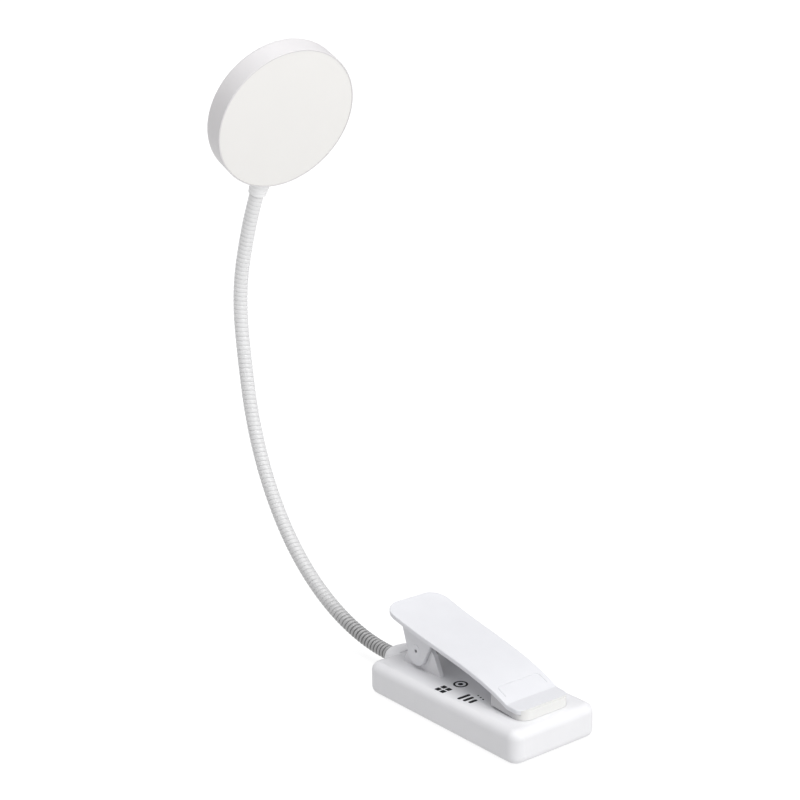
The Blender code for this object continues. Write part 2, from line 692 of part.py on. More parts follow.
def spring_path():
    """The spring's line: a leg to the base's top, the turns round the pin, a leg to the lever's tail."""
    half_width = SPRING_PITCH * SPRING_TURNS / 2
    start_angle = math.radians(-60)
    end_angle = start_angle - 2 * math.pi * SPRING_TURNS - math.radians(80)
    toe_z = lever_top(SPRING_TOE_X) - LEVER_THICKNESS - GAP - SPRING_WIRE * 1.2
    path = [Vector((SPRING_FOOT_X, -half_width, BASE_HEIGHT + GAP + SPRING_WIRE))]
    steps = 14 * SPRING_TURNS + 8
    for i in range(steps + 1):
        share = i / steps
        angle = start_angle + (end_angle - start_angle) * share
        x = PIN_X + SPRING_RADIUS * math.cos(angle)
        z = PIN_Z + SPRING_RADIUS * math.sin(angle)
        path.append(Vector((x, -half_width + 2 * half_width * share, z)))
    return path + [Vector((SPRING_TOE_X, half_width, toe_z))]


def make_spring():
    """A torsion spring round the pin: one leg on the base, one under the lever's tail."""
    path = spring_path()
    sides = 8
    rings = []
    for i, point in enumerate(path):
        ahead = path[min(i + 1, len(path) - 1)] - path[max(i - 1, 0)]
        along = ahead.normalized()
        side = along.cross(Vector((0, 1, 0))).normalized()
        across = along.cross(side)
        angles = [2 * math.pi * k / sides for k in range(sides)]
        rings.append([point + SPRING_WIRE * (math.cos(a) * side + math.sin(a) * across) for a in angles])
    loft("torsion_spring", rings, SPRING_STEEL)


# ---- Neck ----


def neck_at(distance):
    """The neck's centre and heading (in the XZ plane, from +X towards +Z) at a distance from the boss."""
    length = NECK_LENGTH / len(NECK_TURNS)
    point = Vector((NECK_EXIT_X, 0.0, NECK_EXIT_Z))
    heading = math.pi
    if distance < 0:
        return point - Vector((distance, 0.0, 0.0)), heading
    left = distance
    for turn in NECK_TURNS:
        step = min(left, length)
        bend = math.radians(turn) * step / length
        chord = step if bend == 0 else 2 * (step / bend) * math.sin(bend / 2)
        middle = heading - bend / 2
        point = point + Vector((math.cos(middle), 0.0, math.sin(middle))) * chord
        heading -= bend
        left -= step
    return point + Vector((math.cos(heading), 0.0, math.sin(heading))) * left, heading


def neck_ring(distance, radius, sides=NECK_SIDES):
    point, heading = neck_at(distance)
    up = Vector((-math.sin(heading), 0.0, math.cos(heading)))
    angles = [2 * math.pi * i / sides for i in range(sides)]
    return [point + radius * (math.cos(a) * up + math.sin(a) * Vector((0, 1, 0))) for a in angles]


def joint_point(number):
    """Where neck length number + 1 turns on length number."""
    return neck_at(NECK_LENGTH / NECK_PIECES * number)[0]


def make_neck():
    """The neck's lengths, each on an empty at the joint it turns on. Returns the last one's empty."""
    count = NECK_PIECES
    length = NECK_LENGTH / count
    holder = None
    place = Vector((0, 0, 0))
    for number in range(1, count + 1):
        if number > 1:
            joint = bpy.data.objects.new(f"neck_joint_{number - 1:02d}", None)
            bpy.context.scene.collection.objects.link(joint)
            joint.parent = holder
            joint.location = joint_point(number - 1) - place
            place = joint_point(number - 1)
            holder = joint
        start = (number - 1) * length + NECK_JOINT_GAP / 2
        end = number * length - NECK_JOINT_GAP / 2
        if number == 1:
            start = NECK_START
        if number == count:
            end = NECK_LENGTH + HEAD_REACH - NECK_END_RADIUS
        middles = [start + (end - start) * share for share in (1 / 3, 2 / 3)]
        outside = [(start, NECK_RADIUS - NECK_CHAMFER), (start + NECK_CHAMFER, NECK_RADIUS)]
        outside += [(s, NECK_RADIUS) for s in middles]
        outside += [(end - NECK_CHAMFER, NECK_RADIUS), (end, NECK_RADIUS - NECK_CHAMFER)]
        inside = [(end, NECK_BORE), *((s, NECK_BORE) for s in reversed(middles)), (start, NECK_BORE)]
        rings = [[point - place for point in neck_ring(s, r)] for s, r in outside + inside]
        loft(f"neck_segment_{number:02d}", rings, PAINTED_NECK, loop=True, parent=holder)
        stations = [start + WIRE_SETBACK, *middles, end - WIRE_SETBACK]
        rings = [[point - place for point in neck_ring(s, WIRE_RADIUS, 8)] for s in stations]
        loft(f"neck_wire_{number:02d}", rings, BLACK, parent=holder)
    return holder, place


# ---- Head, modelled with its front face at z = 0 and the neck on its +X side ----


def turned_rings(profile, sides=HEAD_SIDES):
    return [on_plane(circle((0.0, 0.0), radius, sides), "Z", z) for radius, z in profile]


def make_head_frame(holder, place):
    frame = bpy.data.objects.new("head_frame", None)
    bpy.context.scene.collection.objects.link(frame)
    frame.parent = holder
    end, heading = neck_at(NECK_LENGTH)
    along = Vector((math.cos(heading), 0.0, math.sin(heading)))
    outward = Vector((math.sin(heading), 0.0, -math.cos(heading)))
    frame.location = end + along * HEAD_REACH + outward * NECK_DEPTH - place
    frame.rotation_euler = (0.0, math.pi - heading, 0.0)
    return frame


def head_floor():
    """Height of the inside of the head's back."""
    return -HEAD_THICKNESS + HEAD_BACK


def head_screw_places():
    turns = [math.radians(60 + 120 * i) for i in range(3)]
    return [(HEAD_SCREW_RING * math.cos(a), HEAD_SCREW_RING * math.sin(a)) for a in turns]


def collar_ring(x, narrowing=0.0, grow=0.0):
    """An oval round the neck's line, standing further out on the front side."""
    half_y = COLLAR_HALF_Y - narrowing + grow
    half_z = COLLAR_HALF_Z - narrowing + grow
    middle = -NECK_DEPTH + COLLAR_RISE * (1 - narrowing / COLLAR_END_NARROWING)
    return [(x, half_y * y, middle + half_z * z) for y, z in circle((0.0, 0.0), 1.0, 20)]


def make_head_shell(frame):
    back = -HEAD_THICKNESS
    floor = head_floor()
    inner = HEAD_RADIUS - HEAD_WALL
    rim = DIFFUSER_RADIUS + GAP
    profile = arc((HEAD_RADIUS - HEAD_FILLET, back + HEAD_FILLET), HEAD_FILLET, -90, 0, 5) + [
        (HEAD_RADIUS, -RIM_EDGE),
        (HEAD_RADIUS - RIM_EDGE, 0.0),
        (rim, 0.0),
        (rim, -LEDGE_DEPTH),
        (inner, -LEDGE_DEPTH),
        (inner, floor),
    ]
    shell = loft("head_shell", turned_rings(profile), WHITE, parent=frame)
    post_top = floor + HEAD_POST_HEIGHT
    posts = [
        rod("head_post_shape", place, "Z", 0.0018, floor - 0.0005, post_top, WHITE, sides=14, parent=frame)
        for place in head_screw_places()
    ]
    combine(shell, "UNION", *posts)
    hole = [collar_ring(x, grow=GAP) for x in (COLLAR_INSIDE - GAP, HEAD_RADIUS + BEYOND)]
    depths = (floor - 0.0004, post_top + BEYOND)
    pilots = [
        rod("head_pilot", place, "Z", 0.0009, *depths, WHITE, sides=10, parent=frame)
        for place in head_screw_places()
    ]
    combine(shell, "DIFFERENCE", loft("collar_hole", hole, WHITE, parent=frame), *pilots)


def make_head_collar(frame):
    """The sleeve where the neck enters the rim: it narrows to the neck, with shallow grooves round it."""
    outer_end = HEAD_RADIUS + COLLAR_LENGTH
    steps = 8
    rings = [collar_ring(COLLAR_INSIDE), collar_ring(HEAD_RADIUS)]
    for i in range(1, steps + 1):
        narrowing = COLLAR_TAPER * i / steps + COLLAR_GROOVE * (i % 2)
        rings.append(collar_ring(HEAD_RADIUS + COLLAR_LENGTH * i / steps, narrowing))
    rings.append(collar_ring(outer_end + 0.0002, COLLAR_END_NARROWING))
    collar = loft("head_collar", rings, WHITE, parent=frame)
    bore_radius = NECK_RADIUS + 0.00012
    ends = (COLLAR_INSIDE - BEYOND, outer_end + BEYOND)
    bore = rod("collar_bore", (0.0, -NECK_DEPTH), "X", bore_radius, *ends, WHITE, parent=frame)
    combine(collar, "DIFFERENCE", bore)


def make_diffuser(frame):
    edge = 0.0003
    profile = (
        (DIFFUSER_RADIUS, -LEDGE_DEPTH + GAP),
        (DIFFUSER_RADIUS, -2 * edge),
        (DIFFUSER_RADIUS - edge, -edge),
    )
    loft("diffuser", turned_rings(profile), OPAL, parent=frame)


def make_led_board(frame):
    low = head_floor() + HEAD_POST_HEIGHT + GAP
    top = low + LED_BOARD_THICKNESS
    profile = ((LED_BOARD_RADIUS, low), (LED_BOARD_RADIUS, top))
    board = loft("led_board", turned_rings(profile, 40), BOARD_WHITE, parent=frame)
    half = LED_HALF_SIZE
    chips = []
    for i in range(LED_COUNT):
        angle = 2 * math.pi * (i + 0.5) / LED_COUNT
        x = LED_RING * math.cos(angle)
        y = LED_RING * math.sin(angle)
        chip_low = (x - half, y - half, top - 0.0003)
        chip_high = (x + half, y + half, top + LED_HEIGHT)
        chips.append(block("led_shape", chip_low, chip_high, OPAL, parent=frame))
    combine(board, "UNION", *chips)
    holes = [
        rod("led_board_hole", place, "Z", 0.0010, low - BEYOND, top + BEYOND, OPAL, sides=12, parent=frame)
        for place in head_screw_places()
    ]
    combine(board, "DIFFERENCE", *holes)


def make_head_screws(frame):
    """The screws that hold the LED board on its posts."""
    foot = head_floor() + GAP
    seat = head_floor() + HEAD_POST_HEIGHT + LED_BOARD_THICKNESS + 2 * GAP
    shank = 0.0006
    head = 0.0016
    for number, place in enumerate(head_screw_places(), 1):
        sections = ((shank, foot), (shank, seat), (head, seat), (head, seat + 0.0006))
        rings = [on_plane(circle(place, radius, 12), "Z", z) for radius, z in sections]
        loft(f"head_screw_{number}", rings, STEEL, parent=frame)


def make_head_fixing(frame):
    """The ferrule in the neck's upper end, the saddle that holds it, and the lead to the LED board."""
    centre = (0.0, -NECK_DEPTH)
    start = NECK_END_RADIUS + FERRULE_OVERLAP
    outside = [(FERRULE_RADIUS, start), (FERRULE_RADIUS, FERRULE_END)]
    inside = [(FERRULE_BORE, FERRULE_END), (FERRULE_BORE, start)]
    rings = [on_plane(circle(centre, radius, 20), "X", x) for radius, x in outside + inside]
    loft("neck_top_fitting", rings, STEEL, loop=True, parent=frame)
    low = (CLAMP_START, -CLAMP_HALF_WIDTH, head_floor() + GAP)
    high = (CLAMP_END, CLAMP_HALF_WIDTH, -LEDGE_DEPTH - GAP)
    clamp = block("neck_clamp", low, high, WHITE, parent=frame)
    ends = (CLAMP_START - BEYOND, CLAMP_END + BEYOND)
    bore = rod("clamp_bore", centre, "X", FERRULE_RADIUS + 0.0002, *ends, WHITE, parent=frame)
    combine(clamp, "DIFFERENCE", bore)
    z = -NECK_DEPTH
    over = z + 0.0012
    route = [(x, 0.0, z) for x in (0.0211, 0.0206)]
    route += [(0.0202, 0.0, over), (0.0185, 0.0008, over), (0.0165, 0.0030, over)]
    wire_along("head_lead", route, 0.0006, BLACK, parent=frame)


def main():
    clear_scene()
    make_base_housing()
    make_base_cover()
    make_base_pad()
    make_base_screws()
    make_ballast()
    make_cell()
    make_control_board()
    make_socket()
    make_switch()
    make_button()
    make_light_pipe()
    make_neck_fixing()
    make_base_leads()
    make_lever()
    make_jaw_pad()
    make_spring()
    holder, place = make_neck()
    frame = make_head_frame(holder, place)
    make_head_shell(frame)
    make_head_collar(frame)
    make_diffuser(frame)
    make_led_board(frame)
    make_head_screws(frame)
    make_head_fixing(frame)


main()
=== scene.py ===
"""Clip-on reading lamp: finer pieces, materials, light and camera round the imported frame."""
import json
import math

import bmesh
import bpy
from mathutils import Matrix, Vector


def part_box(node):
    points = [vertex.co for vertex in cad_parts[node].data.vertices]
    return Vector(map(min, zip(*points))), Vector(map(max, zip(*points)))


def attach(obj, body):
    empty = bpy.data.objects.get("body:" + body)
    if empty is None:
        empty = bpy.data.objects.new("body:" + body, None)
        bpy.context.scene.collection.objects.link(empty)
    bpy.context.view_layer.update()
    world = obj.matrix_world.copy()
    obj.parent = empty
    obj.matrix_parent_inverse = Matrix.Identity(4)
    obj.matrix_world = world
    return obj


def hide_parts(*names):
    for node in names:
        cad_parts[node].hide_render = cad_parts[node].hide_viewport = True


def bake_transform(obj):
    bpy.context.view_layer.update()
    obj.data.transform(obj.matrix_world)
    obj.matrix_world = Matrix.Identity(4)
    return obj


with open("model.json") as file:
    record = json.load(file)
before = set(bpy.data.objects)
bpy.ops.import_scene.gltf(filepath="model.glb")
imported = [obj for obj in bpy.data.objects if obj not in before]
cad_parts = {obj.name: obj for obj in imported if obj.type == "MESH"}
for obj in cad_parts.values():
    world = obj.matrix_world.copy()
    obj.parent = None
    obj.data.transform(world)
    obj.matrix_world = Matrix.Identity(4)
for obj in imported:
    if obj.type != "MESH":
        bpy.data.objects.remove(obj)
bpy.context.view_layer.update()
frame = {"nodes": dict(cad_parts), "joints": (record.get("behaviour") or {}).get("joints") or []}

# ---- Sizes that the frame gives ----

HOUSING_LOW, HOUSING_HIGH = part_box("base_housing")
LEVER_LOW, LEVER_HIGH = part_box("clip_lever")
PIN_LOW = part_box("hinge_pin")[0]
JAW_LOW, JAW_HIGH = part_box("jaw_pad")
JOINTS = {joint["name"]: joint for joint in frame["joints"]}

BASE_HALF_X = HOUSING_HIGH.x
BASE_HALF_Y = HOUSING_HIGH.y
BASE_TOP = 0.013
COVER_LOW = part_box("base_cover")[0].z
PIN = Vector(JOINTS["clip_hinge"]["pos_m"])

# ---- Sizes of what is made here ----

BASE_CORNER = 0.0045
TOP_FILLET = 0.0035
BOTTOM_FILLET = 0.0028
WALL = 0.002
COVER_TOP = 0.0024
GAP = 0.0003
BEYOND = 0.002
BOSS_FRONT_X = -0.0405
BOSS_END_RADIUS = 0.0033
BOSS_WIDENING = 0.0050
BOSS_DROP = 0.0025
BOSS_SQUARENESS = 1.6
POST_RADIUS = 0.0025
EAR_INNER_Y = 0.0072
EAR_OUTER_Y = 0.0090
EAR_RADIUS = 0.0054
EAR_REAR_X = -0.0336
EAR_FRONT_X = -0.0108
CHEEK_INNER_Y = 0.0093
CHEEK_OUTER_Y = 0.0109
CHEEK_RADIUS = 0.0051
CHEEK_DROP = 0.0006
CHEEK_REAR_REACH = 0.0092
CHEEK_FRONT_REACH = 0.0100
PIN_HOLE_RADIUS = 0.00138
PIN_BOSS_RADIUS = 0.0026
VENT_RADIUS = 0.0007
NECK_BORE_RADIUS = 0.0024
LIGHT_HOLE_RADIUS = 0.0011
# Half width, half height and corner radius of the openings in the base's side.
SOCKET_SLOT = (0.0048, 0.0019, 0.0018)
BUTTON_SLOT = (0.0035, 0.0018, 0.0014)

LEVER_BEND_X = 0.029
LEVER_DROP = 0.01985
LEVER_SAG = 0.01210
LEVER_CURL = 0.00930
LEVER_TIP_DROP = 0.0004
LEVER_THICKNESS = 0.0020
LEVER_REAR_HALF_WIDTH = 0.0137
LEVER_TIP_HALF_WIDTH = 0.0120
LEVER_REAR_CORNER = 0.0065
LEVER_TIP_CORNER = 0.0030
GROOVE_WIDTH = 0.00040
GROOVE_DEPTH = 0.00018
JAW_CORNER = 0.0042
JAW_LIFT = 0.0011
SPRING_WIRE = 0.0006
SPRING_RADIUS = 0.0029
SPRING_TURNS = 4
SPRING_SPACING = 0.0018
# Where the wedge's painted shade fades into the cream lip.
LIP_FADE_START = 0.031
LIP_FADE_END = 0.036

NECK_RADIUS = 0.0030
NECK_LENGTH = 0.2271
NECK_TURNS = (17.6, 17.8, 17.3, 14.6, 13.3, 5.0, 21.9, 9.9)
NECK_PIECES = 12
NECK_EXIT = Vector((-0.0536, 0.0, 0.0068))
NECK_START = -0.0023
COIL_PITCH = 0.00195

HEAD_RADIUS = 0.0307
HEAD_THICKNESS = 0.0108
HEAD_REACH = 0.0431
NECK_DEPTH = 0.0073
HEAD_FILLET = 0.0025
HEAD_BACK = 0.0012
HEAD_WALL = 0.0022
LEDGE_DEPTH = 0.0018
DIFFUSER_RADIUS = 0.03012
COLLAR_LENGTH = 0.0072
COLLAR_INSIDE = 0.0283


# ---- Mesh helpers ----


def make_object(name, shape, smooth_angle=35):
    bmesh.ops.recalc_face_normals(shape, faces=shape.faces)
    mesh = bpy.data.meshes.new(name)
    shape.to_mesh(mesh)
    shape.free()
    mesh.shade_smooth()
    mesh.set_sharp_from_angle(angle=math.radians(smooth_angle))
    obj = bpy.data.objects.new(name, mesh)
    bpy.context.scene.collection.objects.link(obj)
    return obj


def loft(name, rings, loop=False, smooth_angle=35):
    """A closed body through rings of points, capped at both ends, or joined round in a loop."""
    shape = bmesh.new()
    rows = [[shape.verts.new(point) for point in ring] for ring in rings]
    count = len(rows[0])
    joined = list(zip(rows, rows[1:]))
    if loop:
        joined.append((rows[-1], rows[0]))
    else:
        shape.faces.new(rows[0])
        shape.faces.new(rows[-1])
    for first, second in joined:
        for i in range(count):
            j = (i + 1) % count
            shape.faces.new((first[i], first[j], second[j], second[i]))
    return make_object(name, shape, smooth_angle)


def arc(centre, radius, start, end, steps):
    angles = [math.radians(start + (end - start) * i / steps) for i in range(steps + 1)]
    return [(centre[0] + radius * math.cos(a), centre[1] + radius * math.sin(a)) for a in angles]


def circle(centre, radius, sides):
    return arc(centre, radius, 0, 360, sides)[:-1]


def rounded_rectangle(half_x, half_y, radius, steps=8, centre=(0.0, 0.0)):
    points = []
    for quarter, (side_x, side_y) in enumerate(((1, 1), (-1, 1), (-1, -1), (1, -1))):
        corner = (centre[0] + side_x * (half_x - radius), centre[1] + side_y * (half_y - radius))
        points += arc(corner, radius, 90 * quarter, 90 * quarter + 90, steps)
    return points


def on_plane(outline, axis, height):
    if axis == "Z":
        return [(a, b, height) for a, b in outline]
    if axis == "Y":
        return [(a, height, b) for a, b in outline]
    return [(height, a, b) for a, b in outline]


def extruded(name, outline, axis, low, high):
    return loft(name, [on_plane(outline, axis, low), on_plane(outline, axis, high)])


def rod(name, centre, axis, radius, low, high, sides=40):
    return extruded(name, circle(centre, radius, sides), axis, low, high)


def block(name, low, high):
    outline = [(low[0], low[1]), (high[0], low[1]), (high[0], high[1]), (low[0], high[1])]
    return extruded(name, outline, "Z", low[2], high[2])


def bake(obj):
    """Applies the object's modifiers to its mesh."""
    graph = bpy.context.evaluated_depsgraph_get()
    mesh = bpy.data.meshes.new_from_object(obj.evaluated_get(graph))
    obj.modifiers.clear()
    obj.data = mesh


def combine(body, operation, *tools):
    """Joins helper shapes to a body or cuts them from it, and removes the helpers."""
    for tool in tools:
        modifier = body.modifiers.new(tool.name, "BOOLEAN")
        modifier.operation = operation
        modifier.solver = "EXACT"
        modifier.object = tool
    bake(body)
    for tool in tools:
        bpy.data.objects.remove(tool, do_unlink=True)


def even_shading(obj, angle=50):
    """Smooth shading that keeps flat faces flat, with every edge over the angle left sharp."""
    obj.data.shade_smooth()
    obj.data.set_sharp_from_angle(angle=math.radians(angle))
    normals = obj.modifiers.new("face_normals", "WEIGHTED_NORMAL")
    normals.keep_sharp = True
    bake(obj)


def soften(obj, width, segments=3, limit=32):
    """Rounds the sharp edges of a body."""
    bevel = obj.modifiers.new("soft_edges", "BEVEL")
    bevel.width = width
    bevel.segments = segments
    bevel.limit_method = "ANGLE"
    bevel.angle_limit = math.radians(limit)
    bevel.harden_normals = False
    bake(obj)
    even_shading(obj)


# ---- Materials ----


def new_material(name):
    material = bpy.data.materials.new(name)
    material.use_nodes = True
    return material, material.node_tree, material.node_tree.nodes["Principled BSDF"]


def noise(tree, scale, detail, coordinates):
    node = tree.nodes.new("ShaderNodeTexNoise")
    node.inputs["Scale"].default_value = scale
    node.inputs["Detail"].default_value = detail
    tree.links.new(coordinates, node.inputs["Vector"])
    return node.outputs["Fac"]


def spread(tree, value, low, high):
    """The value, from a texture that stays near a half, as a number between low and high."""
    node = tree.nodes.new("ShaderNodeMapRange")
    node.inputs["From Min"].default_value = 0.3
    node.inputs["From Max"].default_value = 0.7
    node.inputs["To Min"].default_value = low
    node.inputs["To Max"].default_value = high
    tree.links.new(value, node.inputs["Value"])
    return node.outputs["Result"]


def blend_colors(tree, share, first, second):
    node = tree.nodes.new("ShaderNodeMix")
    node.data_type = "RGBA"
    node.inputs["A"].default_value = (*first, 1.0)
    node.inputs["B"].default_value = (*second, 1.0)
    tree.links.new(share, node.inputs["Factor"])
    return node.outputs["Result"]


FINE_GRAIN = (5000.0, 0.000006)


def surface(name, color, vary, rough, grain=FINE_GRAIN, blotch=120.0, metallic=0.0, **sockets):
    """A material whose colour, roughness and relief vary with noise of two sizes."""
    material, tree, shader = new_material(name)
    place = tree.nodes.new("ShaderNodeTexCoord").outputs["Object"]
    wide = noise(tree, blotch, 2.0, place)
    fine = noise(tree, grain[0], 4.0, place)
    darker = tuple(c * (1 - vary) for c in color)
    lighter = tuple(min(c * (1 + vary), 1.0) for c in color)
    tone = spread(tree, wide, 0.0, 1.0)
    tree.links.new(blend_colors(tree, tone, darker, lighter), shader.inputs["Base Color"])
    tree.links.new(spread(tree, fine, *rough), shader.inputs["Roughness"])
    bump = tree.nodes.new("ShaderNodeBump")
    bump.inputs["Strength"].default_value = 1.0
    bump.inputs["Distance"].default_value = grain[1]
    tree.links.new(fine, bump.inputs["Height"])
    tree.links.new(bump.outputs["Normal"], shader.inputs["Normal"])
    shader.inputs["Metallic"].default_value = metallic
    for socket, value in sockets.items():
        shader.inputs[socket.replace("_", " ")].default_value = value
    return material


def coil_material():
    """White paint on the coil, with painted shade in its grooves and along the lower neck. The mesh says how
    light it is at each point.
    """
    material, tree, shader = new_material("painted_coil")
    place = tree.nodes.new("ShaderNodeTexCoord").outputs["Object"]
    # The paint attribute carries painted shade as well as the paint's white.
    paint = tree.nodes.new("ShaderNodeAttribute")
    paint.attribute_name = "paint"
    fine = noise(tree, 2500.0, 3.0, place)
    uneven = tree.nodes.new("ShaderNodeMath")
    uneven.operation = "MULTIPLY"
    tree.links.new(paint.outputs["Fac"], uneven.inputs[0])
    tree.links.new(spread(tree, fine, 0.97, 1.03), uneven.inputs[1])
    tree.links.new(uneven.outputs["Value"], shader.inputs["Base Color"])
    tree.links.new(spread(tree, fine, 0.30, 0.44), shader.inputs["Roughness"])
    bump = tree.nodes.new("ShaderNodeBump")
    bump.inputs["Distance"].default_value = 0.00001
    tree.links.new(fine, bump.inputs["Height"])
    tree.links.new(bump.outputs["Normal"], shader.inputs["Normal"])
    shader.inputs["Coat Weight"].default_value = 0.15
    shader.inputs["Coat Roughness"].default_value = 0.2
    return material


def jaw_material():
    """Soft silicone, cream at the lip in front, with painted shade that makes the wedge behind it greyer."""
    material = surface("soft_silicone", (0.785, 0.785, 0.765), 0.02, (0.50, 0.62), (3500.0, 0.00001))
    tree = material.node_tree
    shader = tree.nodes["Principled BSDF"]
    cream = shader.inputs["Base Color"].links[0].from_socket
    split = tree.nodes.new("ShaderNodeSeparateXYZ")
    tree.links.new(tree.nodes.new("ShaderNodeTexCoord").outputs["Object"], split.inputs["Vector"])
    out_of_shade = tree.nodes.new("ShaderNodeMapRange")
    out_of_shade.inputs["From Min"].default_value = LIP_FADE_START
    out_of_shade.inputs["From Max"].default_value = LIP_FADE_END
    tree.links.new(split.outputs["X"], out_of_shade.inputs["Value"])
    # The grey is painted shade on the wedge's side under the lever.
    mix = tree.nodes.new("ShaderNodeMix")
    mix.data_type = "RGBA"
    mix.inputs["A"].default_value = (0.56, 0.56, 0.57, 1.0)
    tree.links.new(cream, mix.inputs["B"])
    tree.links.new(out_of_shade.outputs["Result"], mix.inputs["Factor"])
    tree.links.new(mix.outputs["Result"], shader.inputs["Base Color"])
    return material


def opal_material():
    material, tree, shader = new_material("opal_plastic")
    place = tree.nodes.new("ShaderNodeTexCoord").outputs["Object"]
    wide = spread(tree, noise(tree, 60.0, 2.0, place), 0.0, 1.0)
    milk = blend_colors(tree, wide, (0.775, 0.765, 0.745), (0.785, 0.775, 0.755))
    tree.links.new(milk, shader.inputs["Base Color"])
    fine = noise(tree, 6000.0, 2.0, place)
    tree.links.new(spread(tree, fine, 0.42, 0.52), shader.inputs["Roughness"])
    bump = tree.nodes.new("ShaderNodeBump")
    bump.inputs["Distance"].default_value = 0.000004
    tree.links.new(fine, bump.inputs["Height"])
    tree.links.new(bump.outputs["Normal"], shader.inputs["Normal"])
    shader.inputs["Emission Color"].default_value = (1.0, 0.985, 0.95, 1.0)
    shader.inputs["Emission Strength"].default_value = 0.12
    return material


WHITE_PLASTIC = surface("white_plastic", (0.80, 0.80, 0.815), vary=0.012, rough=(0.36, 0.46))
LEVER_PLASTIC = surface("lever_plastic", (0.755, 0.76, 0.785), vary=0.012, rough=(0.30, 0.40))
HEAD_PLASTIC = surface("head_plastic", (0.765, 0.75, 0.755), vary=0.012, rough=(0.34, 0.44))
# The collar is the head's white plastic painted lighter, as painted light for the light that falls on it.
BRIGHTENED_COLLAR_PLASTIC = surface("collar_plastic_painted_light", (0.93, 0.93, 0.93), vary=0.012, rough=(0.34, 0.44))
SOFT_SILICONE = jaw_material()
PAD_SILICONE = surface("pad_silicone", (0.60, 0.60, 0.59), 0.03, (0.65, 0.80), (2500.0, 0.00002))
COIL_PAINT = coil_material()
OPAL = opal_material()
PLATED = surface("plated_steel", (0.62, 0.61, 0.59), 0.06, (0.22, 0.36), (4000.0, 0.000004), 300.0, 1.0)
SPRING = surface("spring_steel", (0.46, 0.46, 0.47), 0.10, (0.20, 0.34), (3000.0, 0.000004), 500.0, 1.0)
BALLAST = surface("ballast_steel", (0.34, 0.34, 0.35), 0.12, (0.35, 0.55), (1500.0, 0.00001), 200.0, 1.0)
BRASS = surface("brass", (0.72, 0.52, 0.24), 0.08, (0.22, 0.38), (3000.0, 0.000004), 300.0, 1.0)
FOIL = surface("battery_foil", (0.62, 0.63, 0.64), 0.06, (0.24, 0.40), (700.0, 0.00004), 90.0, 0.8)
BOARD = surface("circuit_board", (0.02, 0.16, 0.06), 0.25, (0.30, 0.45), (1800.0, 0.00001), 600.0)
LED_BOARD = surface("led_board_white", (0.78, 0.78, 0.76), 0.03, (0.40, 0.55), (2500.0, 0.000006), 200.0)
BLACK = surface("black_plastic", (0.015, 0.015, 0.016), 0.2, (0.35, 0.5), (4000.0, 0.000008), 200.0)
SLEEVE = surface("lead_sleeve", (0.02, 0.02, 0.022), 0.2, (0.40, 0.55), (3000.0, 0.00001), 200.0)
LIGHT_PIPE = surface("light_pipe", (0.75, 0.85, 0.78), 0.03, (0.12, 0.2), (2000.0, 0.000003), 200.0, IOR=1.49)
INK = surface(
    "ink", (0.012, 0.012, 0.014), 0.3, (0.45, 0.6), (6000.0, 0.000004), 900.0, Specular_IOR_Level=0.15
)
DARK_HOLE = surface("pin_end", (0.30, 0.30, 0.31), 0.15, (0.35, 0.5), (3000.0, 0.000006), 400.0, 1.0)


def dress(obj, material):
    obj.data.materials.clear()
    obj.data.materials.append(material)
    return obj


def place_piece(obj, material, body, slot, *nodes):
    dress(obj, material)
    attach(obj, body)
    if nodes:
        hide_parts(*nodes)
    return obj


# ---- Base ----


def fillet_inset(depth, radius):
    if depth >= radius:
        return 0.0
    return radius - math.sqrt(max(radius**2 - (radius - max(depth, 0.0)) ** 2, 0.0))


def base_ring(z):
    inset = fillet_inset(BASE_TOP - z, TOP_FILLET) + fillet_inset(z - COVER_LOW, BOTTOM_FILLET)
    radius = max(BASE_CORNER - inset, 0.0006)
    return on_plane(rounded_rectangle(BASE_HALF_X - inset, BASE_HALF_Y - inset, radius, 10), "Z", z)


def boss_ring(share):
    x = BOSS_FRONT_X + (HOUSING_LOW.x - BOSS_FRONT_X) * share
    swell = math.sqrt(max(1 - share**2, 0.0))
    half_width = BOSS_END_RADIUS + BOSS_WIDENING * swell
    top = NECK_EXIT.z + BOSS_END_RADIUS
    top += (BASE_TOP - 0.0001 - top) * swell
    bottom = NECK_EXIT.z - BOSS_END_RADIUS - BOSS_DROP * swell
    power = 2 / (2 + BOSS_SQUARENESS * swell)
    points = []
    for i in range(64):
        angle = 2 * math.pi * i / 64
        across = math.copysign(abs(math.cos(angle)) ** power, math.cos(angle))
        rise = math.copysign(abs(math.sin(angle)) ** power, math.sin(angle))
        points.append((x, half_width * across, (top + bottom) / 2 + (top - bottom) / 2 * rise))
    return points


def ear_outline():
    foot = BASE_TOP - 0.0006
    return [
        (EAR_FRONT_X, foot),
        (PIN.x + 0.0082, PIN.z + 0.0006),
        *arc((PIN.x, PIN.z), EAR_RADIUS, 50, 152, 20),
        (EAR_REAR_X, foot),
    ]


def across_y(side, inner, outer):
    """The two ends along Y, in order, of something on the +1 or -1 side."""
    return sorted((side * inner, side * outer))


def middle_xz(node):
    low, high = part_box(node)
    return ((low.x + high.x) / 2, (low.z + high.z) / 2)


def middle_xy(node):
    low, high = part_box(node)
    return ((low.x + high.x) / 2, (low.y + high.y) / 2)


